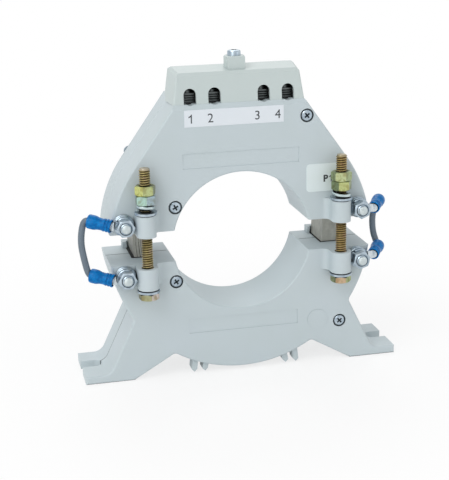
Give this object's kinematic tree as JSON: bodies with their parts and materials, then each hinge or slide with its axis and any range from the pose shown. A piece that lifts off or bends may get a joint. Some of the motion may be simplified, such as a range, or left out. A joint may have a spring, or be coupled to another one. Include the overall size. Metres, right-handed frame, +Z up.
{
  "type": "split-core current transformer",
  "caption": "Split-core current transformer: two bolted ring halves round a cable window, on splayed feet, with terminals under a top cover.",
  "frame": {"origin": "centre of the round primary window at the housing's mid-depth", "axes": "+X to the right of the face that carries the clamp bolts, +Y from that face to the rear along the window's axis, +Z up away from the feet"},
  "size_m": [0.2371, 0.0716, 0.2348],
  "materials": {
    "housing": "pale grey moulded plastic, fine texture",
    "core_steel": "wound electrical steel strip, cut and ground",
    "copper": "copper wire under tape",
    "block_plastic": "dark moulded plastic",
    "terminal_metal": "plated steel clamp and screw",
    "label": "white film",
    "yellow_zinc_bolt": "yellow passivated zinc on steel, brownish",
    "yellow_zinc_nut": "yellow passivated zinc on steel, greenish",
    "blue_vinyl": "saturated blue insulating sleeve",
    "grey_insulation": "smooth grey cable insulation",
    "tinned_copper": "bright tin plating",
    "bright_zinc": "bluish bright zinc plating"
  },
  "bodies": {
    "root": {"cover_screw": "bright_zinc", "front_shell_screws": "bright_zinc", "left_bolt_spring_washer": "bright_zinc", "left_clamp_bolt": "yellow_zinc_bolt", "left_clamp_nut": "yellow_zinc_nut", "left_head_washer": "bright_zinc", "left_jumper_wire": "grey_insulation", "left_lock_nut": "yellow_zinc_nut", "left_top_washer": "bright_zinc", "lower_core": "core_steel", "lower_front_shell": "housing", "lower_left_lug": "tinned_copper", "lower_left_sleeve": "blue_vinyl", "lower_left_stud": "bright_zinc", "lower_left_stud_nut": "bright_zinc", "lower_rear_shell": "housing", "lower_right_lug": "tinned_copper", "lower_right_sleeve": "blue_vinyl", "lower_right_stud": "bright_zinc", "lower_right_stud_nut": "bright_zinc", "lower_winding": "copper", "number_tape": "label", "rear_shell_screws": "bright_zinc", "right_bolt_spring_washer": "bright_zinc", "right_clamp_bolt": "yellow_zinc_bolt", "right_clamp_nut": "yellow_zinc_nut", "right_head_washer": "bright_zinc", "right_jumper_wire": "grey_insulation", "right_lock_nut": "yellow_zinc_nut", "right_top_washer": "bright_zinc", "side_label": "label", "stud_spring_washers": "bright_zinc", "stud_washers": "bright_zinc", "terminal_block": "block_plastic", "terminal_clamp_1": "terminal_metal", "terminal_clamp_2": "terminal_metal", "terminal_clamp_3": "terminal_metal", "terminal_clamp_4": "terminal_metal", "terminal_cover": "housing", "terminal_screw_1": "terminal_metal", "terminal_screw_2": "terminal_metal", "terminal_screw_3": "terminal_metal", "terminal_screw_4": "terminal_metal", "upper_core": "core_steel", "upper_front_shell": "housing", "upper_left_lug": "tinned_copper", "upper_left_sleeve": "blue_vinyl", "upper_left_stud": "bright_zinc", "upper_left_stud_nut": "bright_zinc", "upper_rear_shell": "housing", "upper_right_lug": "tinned_copper", "upper_right_sleeve": "blue_vinyl", "upper_right_stud": "bright_zinc", "upper_right_stud_nut": "bright_zinc", "upper_winding": "copper", "winding_leads": "copper"}
  },
  "joints": []
}
